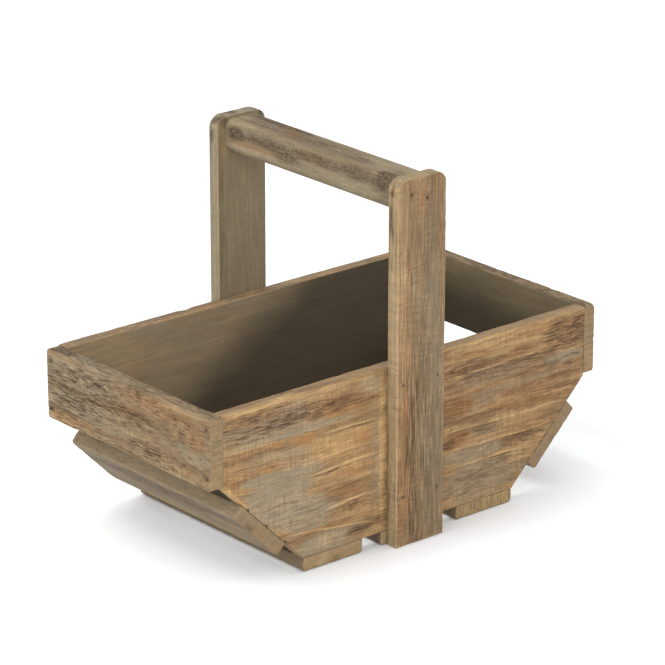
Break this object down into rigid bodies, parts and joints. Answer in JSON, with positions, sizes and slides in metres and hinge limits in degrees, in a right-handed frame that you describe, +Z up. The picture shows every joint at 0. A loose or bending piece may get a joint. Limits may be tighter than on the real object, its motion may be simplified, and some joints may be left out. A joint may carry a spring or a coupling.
{
  "type": "garden trug basket",
  "caption": "Slatted wooden garden trug with boat-shaped sides, sloping ends and a fixed handle rail between two upright posts, nailed together from weathered planks.",
  "frame": {"origin": "on the ground, under the middle of the basket", "axes": "+X along the length to the right, +Y from the front side board to the back one, +Z up"},
  "size_m": [0.4, 0.232, 0.303],
  "materials": {
    "side_wood": "reclaimed pine, brushed and weathered, warm tan with grey patches and raised grain",
    "end_wood": "reclaimed pine, deeply weathered, brown with pale worn edges",
    "slat_wood": "reclaimed pine, olive grey with brown stains",
    "post_wood": "reclaimed pine, tan with grey brown streaks along the grain",
    "rail_wood": "reclaimed pine, rubbed smooth, olive beige with a dark stain",
    "nail_steel": "small steel nails, dark with rust"
  },
  "bodies": {
    "root": {"front_side_board": "side_wood", "back_side_board": "side_wood", "left_end_board": "end_wood", "right_end_board": "end_wood", "left_sloping_slat": "slat_wood", "right_sloping_slat": "slat_wood", "left_bottom_slat": "slat_wood", "centre_bottom_slat": "slat_wood", "right_bottom_slat": "slat_wood", "front_post": "post_wood", "back_post": "post_wood", "handle_rail": "rail_wood", "end_board_nails": "nail_steel", "sloping_slat_nails": "nail_steel", "bottom_slat_nails": "nail_steel", "post_nails": "nail_steel", "handle_nails": "nail_steel"}
  },
  "joints": []
}
